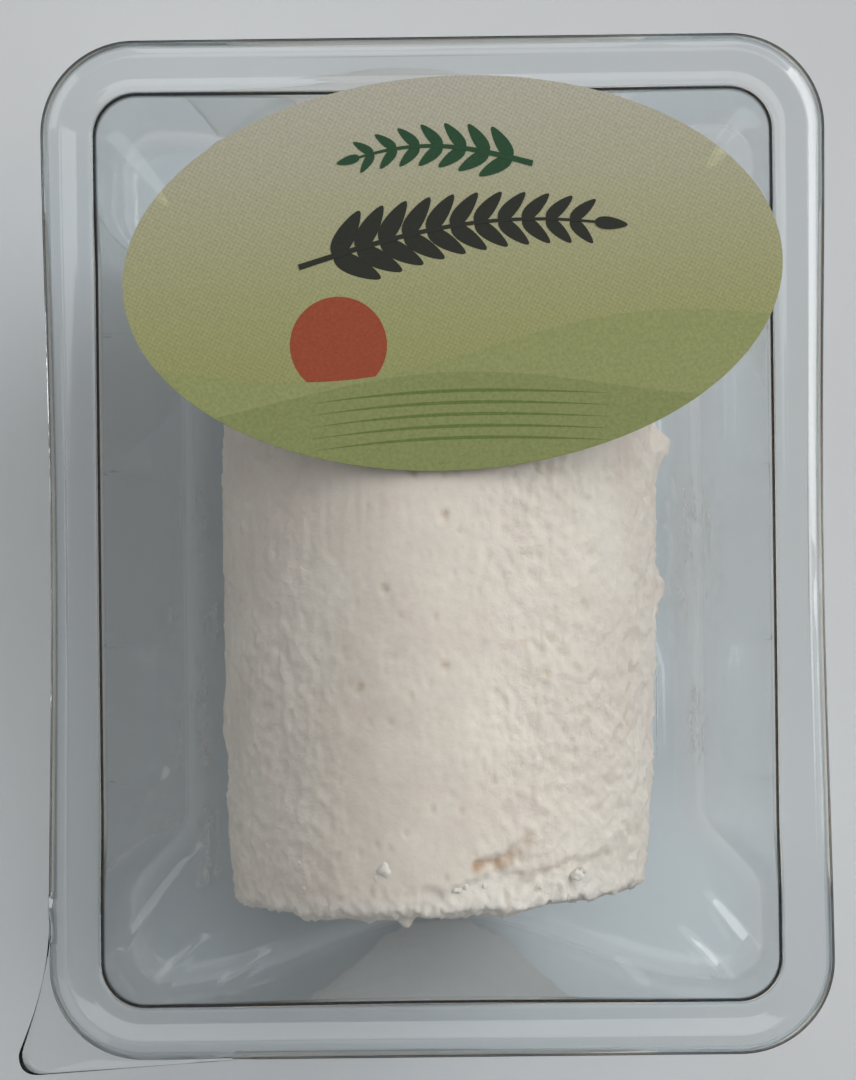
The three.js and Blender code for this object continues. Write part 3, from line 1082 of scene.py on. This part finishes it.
def extrude_log():
    """The log as one closed body, with painted shade in pits and crack, the crack's brown and fresh
    breaks.
    """
    bm = bmesh.new()
    stations = log_stations()
    edges = first_ring(bm, LOG_TURNS, log_ring(*stations[0]))
    for station in stations[1:]:
        edges = next_ring(bm, edges, log_ring(*station))
    bmesh.ops.contextual_create(bm, geom=edges)
    bmesh.ops.recalc_face_normals(bm, faces=bm.faces[:])
    names = ("pit_shade", "crack_stain_and_shade", "fresh", "smoothed")
    pit_shade, crack_stain_and_shade, fresh, smoothed = (bm.verts.layers.float.new(name) for name in names)
    for v in bm.verts:
        local = v.co - Vector((0, 0, LOG_AXIS))
        # Pits are painted darker, as painted shade, by how deep they are.
        v[pit_shade] = PIT_SHADE_STRENGTH * curd_relief(local)[1]
        v[fresh] = BROKEN * max(ledge(local), hill(LOG_Y - abs(v.co.y), *FRESH_HILL))
        v[smoothed] = film_smoothed(local)
        # A brown mark along the crack, deepened by painted shade.
        if local.z > 0:
            uneven = 0.6 + 0.8 * noise.noise(local / 1.3)
            v[crack_stain_and_shade] = min(max(CRACK_STAIN_AND_SHADE * crack(v.co.x, v.co.y, STAIN_AND_SHADE_WIDTH) * uneven, 0), 1)
    return bm


finish_piece(extrude_log(), "cheese_log_curd", [curd_material], "cheese_log")

# %% [markdown]
# ## Whey on the tray
# Fresh cheese weeps whey, which dries to milky smears low in the tray. A smear follows the
# plastic exactly, so it is a copy of the tray's own faces in those places, subdivided and lifted a
# little. Its opacity comes from an attribute and fine noise.

# %% Where the whey is
WHEY_TOP = 14
WHEY_RUNS = (1.2, 4.5, 1.2)
WHEY_EDGE = (0.4, 1.1)
WHEY_MARGIN = (3, 4)
WHEY_ZONES = (
    (-32.4, 3.5, 1.3, 8.5, 0.7), (-31.0, -8.5, 1.8, 4.5, 0.7), (-32.6, -21.5, 1.5, 8.5, 0.9),
    (-31.4, -38.5, 2.6, 6.0, 0.7), (-33.0, -43.5, 1.4, 3.0, 0.9),
    (32.0, -1.0, 2.6, 11.0, 0.6), (33.4, 6.5, 1.2, 4.0, 0.95), (36.0, 3.5, 0.8, 4.5, 0.7),
    (34.0, -23.5, 1.4, 6.5, 0.9),
)


def wetness(point):
    """How milky the tray is at a point."""
    runs = Vector(c / size for c, size in zip(point, WHEY_RUNS))
    ragged = 0.55 * noise.noise(runs) + 0.3 * noise.noise(point / 1.1)
    wet = 0
    for x, y, half_x, half_y, amount in WHEY_ZONES:
        edge = math.hypot((point.x - x) / half_x, (point.y - y) / half_y) + ragged
        wet = max(wet, amount * hill(edge, *WHEY_EDGE))
    return wet


def near_whey(face):
    """Whether a face of the tray is low down and near a smear."""
    spot = face.calc_center_median()
    for x, y, half_x, half_y, _ in WHEY_ZONES:
        near_x = abs(spot.x - x) < half_x + WHEY_MARGIN[0]
        if near_x and abs(spot.y - y) < half_y + WHEY_MARGIN[1]:
            return spot.z < WHEY_TOP
    return False


# %% Dried whey
WHEY_GRAIN = 1.3
WHEY_STRETCH = 0.3


def whey_material():
    """Dried whey: a thin milky skin that shows the plastic through its gaps."""
    material, tree = new_material("Dried whey")
    place = add_node(tree, "ShaderNodeTexCoord").outputs["Object"]
    runs = add_node(tree, "ShaderNodeMapping", {"Vector": place, "Scale": (1, WHEY_STRETCH, 1)})
    curdle = add_node(tree, "ShaderNodeTexNoise", {
        "Vector": runs.outputs[0], "Scale": 1 / (WHEY_GRAIN * MM),
        "Detail": 5.0, "Roughness": 0.65})
    gaps = add_node(tree, "ShaderNodeMapRange", {
        "Value": curdle.outputs["Fac"], "From Min": 0.4, "From Max": 0.66,
        "To Min": 0.05, "To Max": 0.55})
    wet = add_node(tree, "ShaderNodeAttribute", attribute_name="wet")
    cover = add_node(tree, "ShaderNodeMath", {
        0: gaps.outputs[0], 1: wet.outputs["Fac"]}, operation="MULTIPLY")
    whey = add_node(tree, "ShaderNodeBsdfPrincipled", {
        "Base Color": linear("#fbfaf8"), "Roughness": 0.3, "Alpha": cover.outputs[0]})
    add_node(tree, "ShaderNodeOutputMaterial", {"Surface": whey.outputs[0]})
    return material


# %% Cut the smears out of the tray's skin
WHEY_LIFT = 0.06
WHEY_CUTS = 3
DRY = 0.01
clean = [f for f in wet_mesh.faces if not near_whey(f)]
bmesh.ops.delete(wet_mesh, geom=clean, context="FACES")
bmesh.ops.subdivide_edges(wet_mesh, edges=wet_mesh.edges[:], cuts=WHEY_CUTS, use_grid_fill=True)
wet_layer = wet_mesh.verts.layers.float.new("wet")
for v in wet_mesh.verts:
    v[wet_layer] = wetness(v.co)
dry = [f for f in wet_mesh.faces if all(v[wet_layer] < DRY for v in f.verts)]
bmesh.ops.delete(wet_mesh, geom=dry, context="FACES")
wet_mesh.normal_update()
for v in wet_mesh.verts:
    v.co += v.normal * WHEY_LIFT
finish_piece(wet_mesh, "whey_smears", [whey_material()])

# %% [markdown]
# ## Loose crumbs
# A few crumbs have broken off the log's near end and still stick to its rounded edge. Each is a
# small sphere made uneven by noise and a little flattened, all in one mesh.

# %% Crumbs
FLAKES = (
    (-6.8, -41.6, 1.25), (-7.9, -42.4, 0.8), (2.0, -43.8, 0.6), (17.4, -43.4, 0.7), (18.2, -42.8, 0.5),
)
SPECKS = 12
SPECK_X, SPECK_Y, SPECK_SIZE = (-20, 20), (-45.0, -41.0), (0.2, 0.4)
CRUMB_SINK = 0.35
CRUMB_FLATNESS = 0.6
CRUMB_FRESHNESS = 0.5
CRUMB_SEED = 7
crumb_draw = random.Random(CRUMB_SEED)
spots = list(FLAKES)
for k in range(SPECKS):
    spots.append([crumb_draw.uniform(*span) for span in (SPECK_X, SPECK_Y, SPECK_SIZE)])
crumb_mesh = bmesh.new()
fresh_layer = crumb_mesh.verts.layers.float.new("fresh")
for x, y, size in spots:
    high = LOG_Z * (1 - LOG_BARREL) * math.sqrt(1 - (x / LOG_X) ** 2)
    spot = Vector((x, y + END_BOW * (x / LOG_X) ** 2, LOG_AXIS + high - CRUMB_SINK))
    lumps = bmesh.ops.create_icosphere(crumb_mesh, subdivisions=3, radius=size)["verts"]
    for v in lumps:
        v[fresh_layer] = CRUMB_FRESHNESS
        there = (v.co + spot) / size
        v.co *= 1 + 0.5 * noise.noise(there / 0.8) + 0.25 * noise.noise(there / 0.3)
        v.co.z *= CRUMB_FLATNESS
    bmesh.ops.translate(crumb_mesh, verts=lumps, vec=spot)
finish_piece(crumb_mesh, "curd_crumbs", [curd_material])

# %% [markdown]
# ## Floor, light and camera
# A pale floor and soft light from above, stronger from the right, as a window gives it. The camera
# looks down on the film as in the photograph, with a long lens from almost a metre away, a little
# towards the near right corner.

# %% Floor
BOARD_MOTTLE = 60
BOARD_HALF = 3


def floor_material():
    """A pale matte board."""
    material, tree = new_material("Pale studio board")
    place = add_node(tree, "ShaderNodeTexCoord").outputs["Object"]
    mottle = add_node(tree, "ShaderNodeTexNoise", {
        "Vector": place, "Scale": 1 / (BOARD_MOTTLE * MM), "Detail": 3.0})
    tone = add_node(tree, "ShaderNodeValToRGB", {"Fac": mottle.outputs["Fac"]})
    tone.color_ramp.elements[0].color = linear("#eef0f1")
    tone.color_ramp.elements[1].color = linear("#f4f5f6")
    board = add_node(tree, "ShaderNodeBsdfPrincipled", {
        "Base Color": tone.outputs["Color"], "Roughness": 0.8})
    add_node(tree, "ShaderNodeOutputMaterial", {"Surface": board.outputs[0]})
    return material


floor_mesh = bmesh.new()
bmesh.ops.create_grid(floor_mesh, x_segments=1, y_segments=1, size=BOARD_HALF)
bmesh.ops.translate(floor_mesh, verts=floor_mesh.verts[:], vec=(0, 0, cad_box[0].z))
floor_data = bpy.data.meshes.new("floor")
floor_mesh.to_mesh(floor_data)
floor_mesh.free()
floor_data.materials.append(floor_material())
floor = bpy.data.objects.new("floor", floor_data)
bpy.context.scene.collection.objects.link(floor)


# %% Lights
def softbox(name, place, aim, size, power):
    """A square soft light that looks at a point."""
    lamp = bpy.data.lights.new(name, "AREA")
    lamp.shape = "SQUARE"
    lamp.size = size
    lamp.energy = power
    box = bpy.data.objects.new(name, lamp)
    box.location = place
    box.rotation_euler = (Vector(aim) - Vector(place)).to_track_quat("-Z", "Y").to_euler()
    bpy.context.scene.collection.objects.link(box)
    print(name, place, power, "W")


softbox("window", (1.15, 0.5, 0.85), (0, 0, 0.04), 1.0, 9.5)
softbox("overhead", (0.25, 0.68, 1.25), (0, 0, 0), 1.1, 3.2)
softbox("fill", (-0.7, -0.55, 0.5), (0, 0, 0.03), 0.7, 0.6)
softbox("edge", (-0.75, 0.45, 0.55), (0, 0, 0.05), 0.5, 0.6)
ROOM_LIGHT = 0.24
world = bpy.data.worlds.new("soft room")
world.use_nodes = True
room = world.node_tree.nodes["Background"]
room.inputs["Color"].default_value = linear("#eef1f4")
room.inputs["Strength"].default_value = ROOM_LIGHT
bpy.context.scene.world = world
bpy.context.scene.view_settings.view_transform = "Standard"

# %% Camera
FRAME_HEIGHT = 1080
PIXELS_PER_MM = 7.85
SENSOR = 36
DISTANCE = 925
ROLL = math.radians(0.66)
aim = Vector((-1.1, 0.8, FLANGE_TOP))
eye = Vector((13, -20, FLANGE_TOP + DISTANCE))
ahead = (aim - eye).normalized()
right = ahead.cross(Vector((math.sin(ROLL), math.cos(ROLL), 0))).normalized()
up = right.cross(ahead)
lens = bpy.data.cameras.new("camera")
lens.sensor_fit = "VERTICAL"
lens.sensor_height = SENSOR
lens.lens = PIXELS_PER_MM * DISTANCE / FRAME_HEIGHT * SENSOR
camera = bpy.data.objects.new("camera", lens)
turned = Matrix((right, up, -ahead)).transposed().to_4x4()
camera.matrix_world = Matrix.Translation(eye * MM) @ turned
bpy.context.scene.collection.objects.link(camera)
bpy.context.scene.camera = camera
print("lens", round(lens.lens, 1), "mm")
